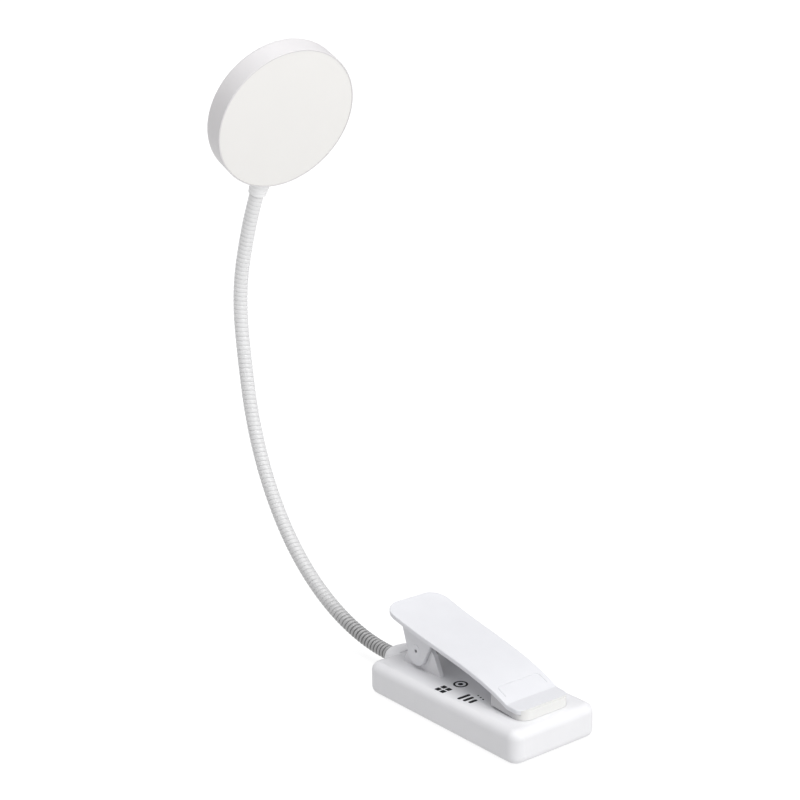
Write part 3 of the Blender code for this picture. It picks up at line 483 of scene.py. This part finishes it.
def make_base():
    bends = [math.radians(a) for a in range(0, 91, 9)]
    heights = [COVER_LOW + BOTTOM_FILLET * (1 - math.cos(a)) for a in bends]
    heights = [HOUSING_LOW.z] + [z for z in heights if z > HOUSING_LOW.z + 0.0001]
    heights += [BASE_TOP - TOP_FILLET * (1 - math.sin(a)) for a in bends]
    shell = loft("base_shell", [base_ring(z) for z in heights])
    boss = loft("boss", [boss_ring(math.sin(math.radians(a))) for a in range(0, 91, 10)])
    ears = []
    for side in (1, -1):
        ears.append(extruded("ear", ear_outline(), "Y", *across_y(side, EAR_INNER_Y, EAR_OUTER_Y)))
    combine(shell, "UNION", boss, *ears)
    soften(shell, 0.00035)
    cavity_plan = rounded_rectangle(BASE_HALF_X - WALL, BASE_HALF_Y - WALL, BASE_CORNER - WALL)
    combine(shell, "DIFFERENCE", extruded("cavity", cavity_plan, "Z", -BEYOND, BASE_TOP - WALL))
    screws = [f"base_screw_{i}" for i in range(1, 5)]
    screw_low, screw_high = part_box(screws[0])
    shank_radius = (screw_high.x - screw_low.x) / 4
    post_ends = (COVER_TOP + GAP, BASE_TOP - WALL / 2)
    posts = [rod("post", middle_xy(screw), "Z", POST_RADIUS, *post_ends) for screw in screws]
    combine(shell, "UNION", *posts)
    wall_inside = BASE_HALF_Y - WALL
    wall = (wall_inside - BEYOND, BASE_HALF_Y + BEYOND)
    socket_plan = rounded_rectangle(*SOCKET_SLOT, centre=middle_xz("usb_c_socket"))
    button_plan = rounded_rectangle(*BUTTON_SLOT, centre=middle_xz("power_button"))
    bore_ends = (HOUSING_LOW.x - BEYOND, WALL + BEYOND - BASE_HALF_X)
    cutters = [
        rod("bore", (0, NECK_EXIT.z), "X", NECK_BORE_RADIUS, *bore_ends),
        rod("pin_hole", (PIN.x, PIN.z), "Y", PIN_HOLE_RADIUS, -EAR_OUTER_Y - BEYOND, EAR_OUTER_Y + BEYOND),
        extruded("socket_slot", socket_plan, "Y", *wall),
        extruded("button_slot", button_plan, "Y", *wall),
        rod("light_hole", middle_xz("charge_light_pipe"), "Y", LIGHT_HOLE_RADIUS, *wall),
    ]
    pilot_ends = (-BEYOND, screw_high.z + GAP)
    for screw in screws:
        cutters.append(rod("pilot", middle_xy(screw), "Z", shank_radius + GAP, *pilot_ends, 20))
    combine(shell, "DIFFERENCE", *cutters)
    even_shading(shell)
    place_piece(shell, WHITE_PLASTIC, "base", "white_housing", "base_housing")


# ---- Clip lever ----


def lever_top(x):
    share = min((x - LEVER_LOW.x) / (LEVER_BEND_X - LEVER_LOW.x), 1.0)
    tip_share = max((x - LEVER_BEND_X) / (LEVER_HIGH.x - LEVER_BEND_X), 0.0)
    ramp = LEVER_HIGH.z - LEVER_DROP * share + LEVER_SAG * share**2 - LEVER_CURL * share**4
    return ramp - LEVER_TIP_DROP * tip_share


def lever_half_width(x):
    share = (x - LEVER_LOW.x) / (LEVER_HIGH.x - LEVER_LOW.x)
    width = LEVER_REAR_HALF_WIDTH + (LEVER_TIP_HALF_WIDTH - LEVER_REAR_HALF_WIDTH) * share
    width -= fillet_inset(x - LEVER_LOW.x, LEVER_REAR_CORNER)
    width -= fillet_inset(LEVER_HIGH.x - x, LEVER_TIP_CORNER)
    return width


def lever_section(x):
    """A section of the plate with rounded edges."""
    half = max(lever_half_width(x), 0.002)
    top = lever_top(x)
    middle = top - LEVER_THICKNESS / 2
    outline = rounded_rectangle(half, LEVER_THICKNESS / 2, 0.0005, 4, (0.0, middle))
    return on_plane(outline, "X", x)


def cheek_outline():
    bottom = arc((PIN.x, PIN.z - CHEEK_DROP), CHEEK_RADIUS, -160, -40, 24)
    rear_x = PIN.x - CHEEK_REAR_REACH
    front_x = PIN.x + CHEEK_FRONT_REACH
    inside = [rear_x + (front_x - rear_x) * i / 8 for i in range(9)]
    return bottom + [(x, lever_top(x) - LEVER_THICKNESS / 2) for x in reversed(inside)]


def groove_cutter(path, width, depth):
    """A thin ribbon that follows a line on the lever's upper face."""
    rings = []
    for i, point in enumerate(path):
        ahead = path[min(i + 1, len(path) - 1)]
        behind = path[max(i - 1, 0)]
        run = Vector((ahead[0] - behind[0], ahead[1] - behind[1])).normalized()
        side = Vector((-run.y, run.x)) * width / 2
        top = lever_top(point[0])
        rings.append(
            [
                (point[0] + side.x, point[1] + side.y, top - depth),
                (point[0] - side.x, point[1] - side.y, top - depth),
                (point[0] - side.x, point[1] - side.y, top + 0.0006),
                (point[0] + side.x, point[1] + side.y, top + 0.0006),
            ]
        )
    return loft("groove", rings)


def make_lever():
    rear = [LEVER_LOW.x + LEVER_REAR_CORNER * (1 - math.cos(math.radians(a))) for a in range(0, 91, 6)]
    ramp = [rear[-1] + (LEVER_BEND_X - 0.0008 - rear[-1]) * i / 30 for i in range(1, 31)]
    bend = [LEVER_BEND_X - 0.0008 + 0.0016 * i / 6 for i in range(1, 7)]
    tip = [LEVER_HIGH.x - LEVER_TIP_CORNER * (1 - math.cos(math.radians(a))) for a in range(90, -1, -9)]
    stations = rear + ramp + bend + [x for x in tip if x > bend[-1]]
    lever = loft("lever_plate", [lever_section(x) for x in stations])
    cheeks = []
    for side in (1, -1):
        cheek = extruded("cheek", cheek_outline(), "Y", *across_y(side, CHEEK_INNER_Y, CHEEK_OUTER_Y))
        soften(cheek, 0.0003)
        boss_ends = across_y(side, CHEEK_OUTER_Y - 0.0005, CHEEK_OUTER_Y + 0.00010)
        boss = rod("pin_boss", (PIN.x, PIN.z), "Y", PIN_BOSS_RADIUS, *boss_ends)
        soften(boss, 0.00009, 2)
        combine(cheek, "UNION", boss)
        cheeks.append(cheek)
    combine(lever, "UNION", *cheeks)
    far_side = CHEEK_OUTER_Y + BEYOND
    hole = rod("cheek_hole", (PIN.x, PIN.z), "Y", PIN_HOLE_RADIUS, PIN_LOW.y - GAP, far_side)
    vent = rod("vent_hole", (PIN.x, PIN.z), "Y", VENT_RADIUS, -far_side, PIN_LOW.y, 20)
    path = [(0.0262, -0.0098), (0.0232, -0.0098)]
    path += [(x, y) for x, y in arc((0.0224, -0.0086), 0.0012, -90, -180, 5)]
    path += [(0.0212, y) for y in (-0.004, 0.0, 0.004)]
    path += [(x, y) for x, y in arc((0.0224, 0.0086), 0.0012, 180, 90, 5)]
    path += [(0.0232, 0.0098), (0.0262, 0.0098)]
    combine(lever, "DIFFERENCE", hole, vent, groove_cutter(path, GROOVE_WIDTH, GROOVE_DEPTH))
    even_shading(lever, 40)
    place_piece(lever, LEVER_PLASTIC, "clip", "white_housing", "clip_lever")


def make_jaw():
    """The soft wedge under the lever's tip, with a lip over its front edge."""
    half = JAW_HIGH.y
    lip_top = lever_top(LEVER_HIGH.x) - 0.00015
    tallest = lever_top(JAW_LOW.x)
    corner_x = JAW_HIGH.x - JAW_CORNER
    plan = [(JAW_LOW.x, -half), *arc((corner_x, JAW_CORNER - half), JAW_CORNER, -90, 0, 10)]
    plan += [*arc((corner_x, half - JAW_CORNER), JAW_CORNER, 0, 90, 10), (JAW_LOW.x, half)]
    contact = BASE_TOP + 0.0001
    lift = JAW_LIFT / (corner_x - JAW_LOW.x)
    sole = [(x, y, contact + max(corner_x - x, 0.0) * lift) for x, y in plan]
    wedge = loft("jaw_shoe", [sole, on_plane(plan, "Z", tallest)])
    clear = 0.00003
    room_start = JAW_LOW.x - BEYOND
    room_end = LEVER_HIGH.x + clear
    stations = [room_start + (LEVER_BEND_X - room_start) * i / 14 for i in range(15)]
    stations += [room_end - LEVER_TIP_CORNER * (1 - math.cos(math.radians(a))) for a in range(90, -1, -9)]
    rooms = []
    for x in stations:
        side = LEVER_TIP_HALF_WIDTH + clear - fillet_inset(room_end - x, LEVER_TIP_CORNER)
        bottom = lever_top(x) - LEVER_THICKNESS - clear
        top = tallest + BEYOND
        rooms.append([(x, -side, bottom), (x, side, bottom), (x, side, top), (x, -side, top)])
    above_low = (LEVER_BEND_X, -2 * half, lip_top)
    above = block("above_lip", above_low, (JAW_HIGH.x + BEYOND, 2 * half, tallest + BEYOND))
    combine(wedge, "DIFFERENCE", loft("tip_room", rooms), above)
    soften(wedge, 0.00018, 2)
    place_piece(wedge, SOFT_SILICONE, "clip", "soft_jaw", "jaw_pad")


def make_spring():
    """The coils and lower leg stay with the base; the upper leg goes with the lever."""
    wire = SPRING_WIRE
    half_width = SPRING_SPACING * SPRING_TURNS / 2
    start = math.radians(-60)
    end = start - 2 * math.pi * SPRING_TURNS - math.radians(80)

    def on_coil(share):
        angle = start + (end - start) * share
        y = -half_width + 2 * half_width * share
        return Vector((PIN.x + SPRING_RADIUS * math.cos(angle), y, PIN.z + SPRING_RADIUS * math.sin(angle)))

    def swept(name, path, thickness):
        rings = []
        for i, point in enumerate(path):
            along = (path[min(i + 1, len(path) - 1)] - path[max(i - 1, 0)]).normalized()
            side = along.cross(Vector((0, 1, 0))).normalized()
            across = along.cross(side)
            angles = [2 * math.pi * k / 14 for k in range(14)]
            rings.append([point + thickness * (math.cos(a) * side + math.sin(a) * across) for a in angles])
        return loft(name, rings)

    steps = 150
    foot = Vector((-0.0350, -half_width, BASE_TOP + GAP + wire))
    coils = [foot] + [on_coil(i / steps) for i in range(steps + 1)]
    toe_x = -0.0355
    toe = Vector((toe_x, half_width, lever_top(toe_x) - LEVER_THICKNESS - GAP - wire * 1.2))
    leg = [on_coil(share) for share in (0.97, 0.98, 0.99, 1.0)] + [toe]
    place_piece(swept("spring_coils", coils, wire), SPRING, "base", "spring_steel", "torsion_spring")
    place_piece(swept("spring_leg", leg, wire * 0.97), SPRING, "clip", "spring_steel")


# ---- Neck ----


def neck_at(distance):
    length = NECK_LENGTH / len(NECK_TURNS)
    point = NECK_EXIT.copy()
    heading = math.pi
    if distance < 0:
        return point + Vector((-distance, 0.0, 0.0)), heading
    left = distance
    for turn in NECK_TURNS:
        step = min(left, length)
        bend = math.radians(turn) * step / length
        chord = step if abs(bend) < 1e-9 else 2 * (step / bend) * math.sin(bend / 2)
        middle = heading - bend / 2
        point = point + Vector((math.cos(middle), 0.0, math.sin(middle))) * chord
        heading -= bend
        left -= step
    return point + Vector((math.cos(heading), 0.0, math.sin(heading))) * left, heading


COIL_PHASES = (0.0, 0.06, 0.12, 0.18, 0.26, 0.38, 0.50, 0.62, 0.74, 0.82, 0.88, 0.94)
COIL_SIDES = 32
# The coil ends inside the collar, this far from the head's centre.
COIL_END_RADIUS = 0.0290
COIL_DEPTH = 0.00050
OPEN_UNTIL = 0.016
CLOSED_FROM = 0.048
CREST_OPEN = 0.44
CREST_CLOSED = 0.57
CREST_AT_HEAD = 0.86
GROOVE_OPEN = 0.22
GROOVE_CLOSED = 0.84


def openness(along):
    """How far apart the coil's turns stand: 1 where it leaves the base, less further up."""
    share = min(max((along - OPEN_UNTIL) / (CLOSED_FROM - OPEN_UNTIL), 0.0), 1.0)
    return 1 - share * share * (3 - 2 * share)


def coil_height(phase, loose):
    """0 in the groove between two turns, 1 on the crest of the round wire."""
    across = 2 * abs(phase % 1.0 - 0.5) * (1 + 0.30 * loose)
    return math.sqrt(max(1 - across**2.2, 0.0))


def coil_paint_and_shade(along, height):
    """How light the paint is, with painted shade: less in the grooves, and less near the base."""
    loose = openness(along)
    reach = max(along, 0.0) / NECK_LENGTH
    crest = CREST_CLOSED + (CREST_AT_HEAD - CREST_CLOSED) * reach
    crest += (CREST_OPEN - crest) * loose
    groove = crest * (GROOVE_CLOSED + (GROOVE_OPEN - GROOVE_CLOSED) * loose)
    return groove + (crest - groove) * min(height / 0.7, 1.0)


def make_coil(name, start, end):
    """One stretch of the neck's coil, with flat ends."""
    shape = bmesh.new()
    paint = shape.verts.layers.float.new("paint")
    found = {}
    stations = {}

    def vertex(turn, phase, side):
        along = (turn + phase + side / COIL_SIDES) * COIL_PITCH
        along = min(max(along, start), end)
        key = (round(along * 1e8), side % COIL_SIDES)
        if key in found:
            return found[key]
        loose = openness(along)
        height = coil_height(along / COIL_PITCH - side / COIL_SIDES, loose)
        if key[0] not in stations:
            stations[key[0]] = neck_at(along)
        point, heading = stations[key[0]]
        up = Vector((-math.sin(heading), 0.0, math.cos(heading)))
        angle = 2 * math.pi * side / COIL_SIDES
        radius = NECK_RADIUS - COIL_DEPTH * (0.5 + 0.5 * loose) * (1 - height)
        made = shape.verts.new(point + radius * (math.cos(angle) * up + math.sin(angle) * Vector((0, 1, 0))))
        # Painted shade: the grooves and the lower neck are painted darker.
        made[paint] = coil_paint_and_shade(along, height)
        found[key] = made
        return made

    first = math.floor(start / COIL_PITCH) - 2
    last = math.ceil(end / COIL_PITCH) + 1
    steps = [(turn, phase) for turn in range(first, last) for phase in COIL_PHASES] + [(last, 0.0)]
    for (turn, phase), (next_turn, next_phase) in zip(steps, steps[1:]):
        for side in range(COIL_SIDES):
            corners = [
                vertex(turn, phase, side),
                vertex(turn, phase, side + 1),
                vertex(next_turn, next_phase, side + 1),
                vertex(next_turn, next_phase, side),
            ]
            corners = [v for i, v in enumerate(corners) if v not in corners[:i]]
            if len(corners) > 2 and shape.faces.get(corners) is None:
                shape.faces.new(corners)
    bmesh.ops.holes_fill(shape, edges=[e for e in shape.edges if e.is_boundary])
    return make_object(name, shape, 60)


def make_neck():
    length = NECK_LENGTH / NECK_PIECES
    for number in range(1, NECK_PIECES):
        start = (number - 0.5) * length
        end = (number + 0.5) * length
        low = NECK_START if number == 1 else start
        high = NECK_LENGTH + HEAD_REACH - COIL_END_RADIUS if number == NECK_PIECES - 1 else end
        coil = dress(make_coil(f"neck_coil_{number:02d}", low, high), COIL_PAINT)
        neck_at(start)[0]
        neck_at(end)[0]
        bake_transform(coil)
        nodes = [f"neck_segment_{number + 1:02d}"]
        if number == 1:
            nodes.append("neck_segment_01")
        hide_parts(*nodes)


# ---- Head ----


def head_matrix():
    """The head's own frame: front face at z = 0, looking along +Z, with the neck on its +X side."""
    end, heading = neck_at(NECK_LENGTH)
    along = Vector((math.cos(heading), 0.0, math.sin(heading)))
    outward = Vector((math.sin(heading), 0.0, -math.cos(heading)))
    centre = end + along * HEAD_REACH + outward * NECK_DEPTH
    return Matrix.Translation(centre) @ Matrix.Rotation(math.pi - heading, 4, "Y")


HEAD = head_matrix()


def in_head(obj):
    obj.data.transform(HEAD)
    return obj


def turned(name, profile, sides=144, smooth_angle=30):
    rings = [on_plane(circle((0.0, 0.0), radius, sides), "Z", z) for radius, z in profile]
    return loft(name, rings, smooth_angle=smooth_angle)


def collar_ring(x, narrowing=0.0, grow=0.0, sides=48):
    half_y = 0.0044 - narrowing + grow
    half_z = 0.0043 - narrowing + grow
    middle = -NECK_DEPTH + 0.0006 * (1 - narrowing / 0.0008)
    angles = [2 * math.pi * k / sides for k in range(sides)]
    return [(x, half_y * math.cos(a), middle + half_z * math.sin(a)) for a in angles]


def make_head():
    back = -HEAD_THICKNESS
    inner = HEAD_RADIUS - HEAD_WALL
    rim = DIFFUSER_RADIUS + 0.00003
    profile = arc((HEAD_RADIUS - HEAD_FILLET, back + HEAD_FILLET), HEAD_FILLET, -90, 0, 12)
    profile += arc((HEAD_RADIUS - 0.0003, -0.0003), 0.0003, 0, 90, 5)
    profile += [(rim, 0.0), (rim, -LEDGE_DEPTH), (inner, -LEDGE_DEPTH), (inner, back + HEAD_BACK)]
    shell = turned("head_dish", profile)
    hole_ends = (COLLAR_INSIDE - GAP, HEAD_RADIUS + BEYOND)
    hole = loft("collar_hole", [collar_ring(x, grow=0.0001) for x in hole_ends])
    combine(shell, "DIFFERENCE", hole)
    even_shading(shell, 35)
    place_piece(in_head(shell), HEAD_PLASTIC, "head", "white_housing", "head_shell")

    low = -LEDGE_DEPTH + GAP
    profile = [(DIFFUSER_RADIUS - 0.0002, low), (DIFFUSER_RADIUS, low + 0.0002)]
    profile += arc((DIFFUSER_RADIUS - 0.0001, -0.0002), 0.0001, 0, 90, 3)
    disc = turned("opal_disc", profile)
    place_piece(in_head(disc), OPAL, "head", "opal_diffuser", "diffuser")

    steps = 40
    rings = [collar_ring(COLLAR_INSIDE), collar_ring(HEAD_RADIUS)]
    for i in range(1, steps + 1):
        share = i / steps
        ripple = 0.00016 * (0.5 - 0.5 * math.cos(2 * math.pi * 4 * share)) if share > 0.1 else 0.0
        rings.append(collar_ring(HEAD_RADIUS + COLLAR_LENGTH * share, 0.0006 * share + ripple))
    rings.append(collar_ring(HEAD_RADIUS + COLLAR_LENGTH + 0.0003, 0.0009))
    collar = loft("neck_collar", rings, smooth_angle=50)
    bore = rod("collar_bore", (0.0, -NECK_DEPTH), "X", NECK_RADIUS + 0.00012, 0.026, 0.045)
    combine(collar, "DIFFERENCE", bore)
    even_shading(collar)
    place_piece(in_head(collar), BRIGHTENED_COLLAR_PLASTIC, "head", "white_housing", "head_collar")


# ---- Small generic ink shapes printed on the base ----


def flat_shape(name, outline, hole=None):
    """A thin print on the base's top, with an optional hole of the same number of points."""
    low = BASE_TOP + 0.00001
    high = BASE_TOP + 0.00004
    rings = [on_plane(outline, "Z", low), on_plane(outline, "Z", high)]
    if hole is not None:
        rings += [on_plane(hole, "Z", high), on_plane(hole, "Z", low)]
    shape = loft(name, rings, loop=hole is not None)
    return place_piece(shape, INK, "base", "black_plastic")


def make_prints():
    middle = (-0.0022, -0.0068)
    flat_shape("print_ring", circle(middle, 0.0028, 32), circle(middle, 0.0020, 32))
    flat_shape("print_dot", circle(middle, 0.0010, 20))
    for i in range(4):
        place = (-0.0042 + 0.0027 * (i % 2), -0.0158 + 0.0027 * (i // 2))
        flat_shape(f"print_square_{i + 1}", rounded_rectangle(0.00105, 0.00105, 0.0003, 4, place))
    for i in range(3):
        place = (0.0070 + 0.0025 * i, -0.0130)
        flat_shape(f"print_bar_{i + 1}", rounded_rectangle(0.0007, 0.0029 - 0.0005 * i, 0.0006, 4, place))
    for i in range(3):
        flat_shape(f"print_speck_{i + 1}", circle((0.0096 + 0.0018 * i, -0.0084 - 0.0004 * i), 0.0004, 16))


# ---- The rest of the frame's own nodes ----


def dress_nodes():
    looks = {
        "base_cover": WHITE_PLASTIC,
        "base_pad": PAD_SILICONE,
        "hinge_pin": DARK_HOLE,
        "ballast_plate": BALLAST,
        "battery_cell": FOIL,
        "control_board": BOARD,
        "usb_c_socket": PLATED,
        "power_button": WHITE_PLASTIC,
        "tact_switch": BLACK,
        "charge_light_pipe": LIGHT_PIPE,
        "neck_root_fitting": BRASS,
        "neck_nut": BRASS,
        "neck_top_fitting": PLATED,
        "neck_clamp": WHITE_PLASTIC,
        "led_board": LED_BOARD,
    }
    for name, node in frame["nodes"].items():
        if name in looks:
            material = looks[name]
        elif "screw" in name:
            material = PLATED
        elif "lead" in name or "wire" in name:
            material = SLEEVE
        else:
            continue
        dress(node, material)


# ---- Stage, light and camera ----


FLOOR_GLOW = 0.54
FLOOR_GLOW_SEEN = 0.85
WORLD_STRENGTH = 0.34
WHITE_STRENGTH = 1.4
# Each sun's direction, strength and spread in degrees.
SUNS = {
    "key": ((0.24, -0.06, 0.965), 1.9, 60),
    "front": ((0.92, 0.14, 0.36), 1.25, 40),
    "left": ((-0.92, -0.05, 0.36), 0.3, 60),
}
CAMERA_PLACE = (0.4213, -0.3604, 0.2607)
CAMERA_BACK = (0.7663, -0.5938, 0.2451)
CAMERA_RIGHT = (0.6165, 0.7871, -0.0203)
CAMERA_LENS = 72.8


def make_stage():
    shape = bmesh.new()
    bmesh.ops.create_grid(shape, x_segments=2, y_segments=2, size=60.0)
    floor = make_object("floor", shape)
    material, tree, shader = new_material("floor_paint")
    place = tree.nodes.new("ShaderNodeTexCoord").outputs["Object"]
    wide = spread(tree, noise(tree, 3.0, 2.0, place), 0.0, 1.0)
    grey = blend_colors(tree, wide, (0.24, 0.24, 0.24), (0.26, 0.26, 0.26))
    tree.links.new(grey, shader.inputs["Base Color"])
    shader.inputs["Roughness"].default_value = 0.9
    shader.inputs["Specular IOR Level"].default_value = 0.0
    shader.inputs["Emission Color"].default_value = (1.0, 1.0, 1.0, 1.0)
    seen = tree.nodes.new("ShaderNodeLightPath").outputs["Is Camera Ray"]
    glow = spread(tree, seen, FLOOR_GLOW, FLOOR_GLOW_SEEN)
    tree.links.new(glow, shader.inputs["Emission Strength"])
    dress(floor, material)


def add_sun(name, direction, strength, spread_degrees):
    light = bpy.data.lights.new(name, "SUN")
    light.energy = strength
    light.angle = math.radians(spread_degrees)
    lamp = bpy.data.objects.new(name, light)
    bpy.context.scene.collection.objects.link(lamp)
    lamp.rotation_mode = "QUATERNION"
    lamp.rotation_quaternion = Vector(direction).to_track_quat("Z", "Y")


def light_scene():
    """Soft even light from all round, a broad light from above, and white where the floor ends."""
    scene = bpy.context.scene
    world = bpy.data.worlds.new("studio")
    scene.world = world
    world.use_nodes = True
    tree = world.node_tree
    even = tree.nodes["Background"]
    even.inputs["Color"].default_value = (1.0, 0.995, 1.025, 1.0)
    even.inputs["Strength"].default_value = WORLD_STRENGTH
    white = tree.nodes.new("ShaderNodeBackground")
    white.inputs["Strength"].default_value = WHITE_STRENGTH
    seen = tree.nodes.new("ShaderNodeLightPath")
    mix = tree.nodes.new("ShaderNodeMixShader")
    tree.links.new(seen.outputs["Is Camera Ray"], mix.inputs[0])
    tree.links.new(even.outputs["Background"], mix.inputs[1])
    tree.links.new(white.outputs["Background"], mix.inputs[2])
    tree.links.new(mix.outputs["Shader"], tree.nodes["World Output"].inputs["Surface"])
    for name, (direction, strength, spread_degrees) in SUNS.items():
        add_sun(name, direction, strength, spread_degrees)
    scene.view_settings.view_transform = "Standard"


def make_camera():
    data = bpy.data.cameras.new("camera")
    data.sensor_width = 36.0
    data.lens = CAMERA_LENS
    data.clip_start = 0.01
    data.clip_end = 200.0
    camera = bpy.data.objects.new("camera", data)
    bpy.context.scene.collection.objects.link(camera)
    back = Vector(CAMERA_BACK).normalized()
    right = Vector(CAMERA_RIGHT)
    right = (right - back * right.dot(back)).normalized()
    up = back.cross(right)
    turn = Matrix((right, up, back)).transposed().to_4x4()
    camera.matrix_world = Matrix.Translation(CAMERA_PLACE) @ turn
    bpy.context.scene.camera = camera


make_camera()
make_stage()
light_scene()
make_base()
make_lever()
make_jaw()
make_spring()
make_neck()
make_head()
make_prints()
dress_nodes()
